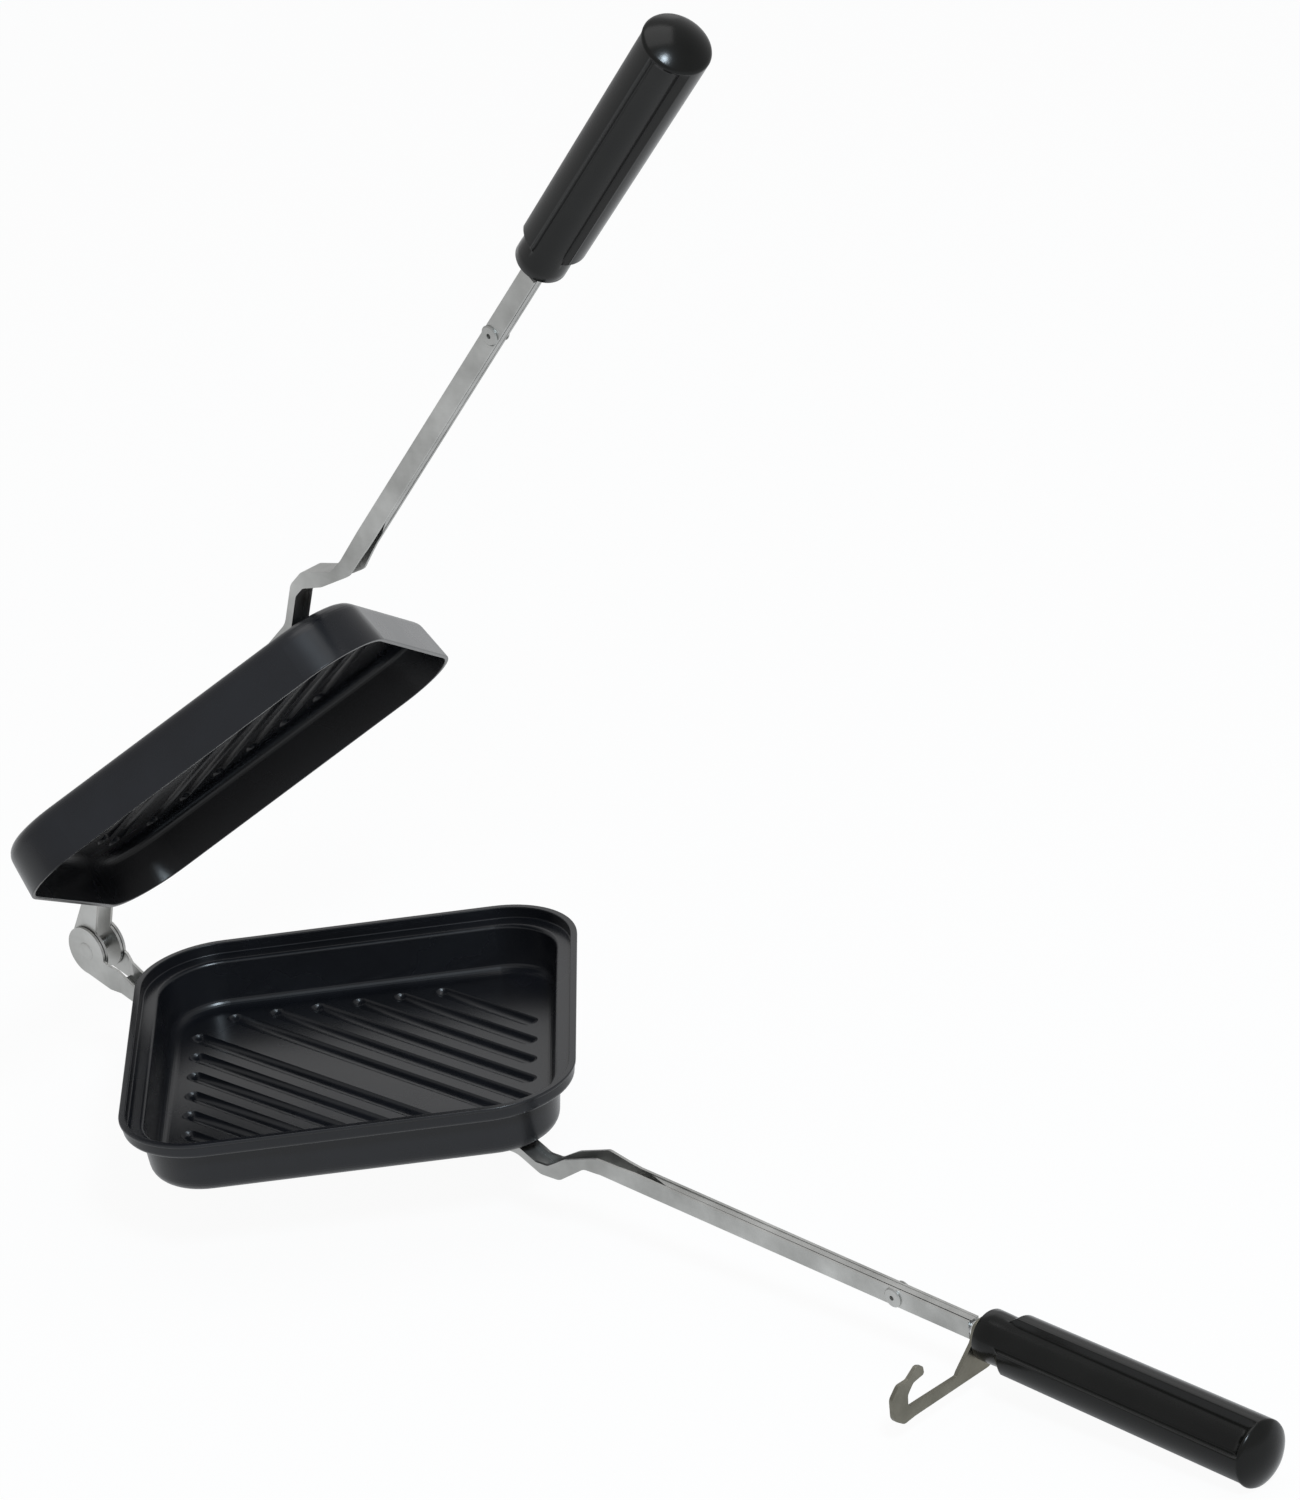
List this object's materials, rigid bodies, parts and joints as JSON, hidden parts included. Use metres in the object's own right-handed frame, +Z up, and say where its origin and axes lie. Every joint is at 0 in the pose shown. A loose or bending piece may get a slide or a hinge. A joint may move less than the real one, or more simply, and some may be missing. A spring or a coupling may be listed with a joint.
{
  "type": "stovetop sandwich toaster",
  "caption": "Hinged pair of square ribbed pans on channel-steel handles with moulded grips and a swinging latch hook, for toasting a sandwich over a stove burner.",
  "frame": {"origin": "underside of the lower strap, below the middle of the lower pan", "axes": "+X from the hinge to the handles along the diagonal of the lower pan, +Y along the hinge pin, +Z up out of the open lower pan"},
  "size_m": [0.4433, 0.1568, 0.3676],
  "materials": {
    "pan_black": "satin black baked coating on pressed steel",
    "strap_steel": "satin plated steel",
    "hook_steel": "dull plated steel",
    "tang_steel": "plain steel",
    "bright_metal": "turned, bright",
    "grip_black": "moulded thermoset, soft gloss",
    "insert_brass": "turned"
  },
  "bodies": {
    "lower_half": {"lower_pan": "pan_black", "lower_strap": "strap_steel", "lower_tang": "tang_steel", "lower_tang_rivet": "strap_steel", "lower_ferrule": "bright_metal", "lower_grip_insert": "insert_brass", "lower_grip": "grip_black", "hinge_pin": "strap_steel", "latch_washer": "bright_metal"},
    "upper_half": {"upper_pan": "pan_black", "upper_strap": "strap_steel", "upper_tang": "tang_steel", "upper_tang_rivet": "strap_steel", "upper_ferrule": "bright_metal", "upper_grip_insert": "insert_brass", "upper_grip": "grip_black"},
    "latch": {"latch_hook": "hook_steel"}
  },
  "joints": [
    {"name": "pan_hinge", "type": "hinge", "parent": "lower_half", "child": "upper_half", "pos_m": [-0.1071, 0, 0.0186], "axis": [0, -1, 0], "range_deg": [-42.1, 137.9]},
    {"name": "latch_swing", "type": "hinge", "parent": "lower_half", "child": "latch", "pos_m": [0.2344, 0, -0.00762], "axis": [-0.9967, 0, 0.0811], "range_deg": [-90, 100]}
  ]
}
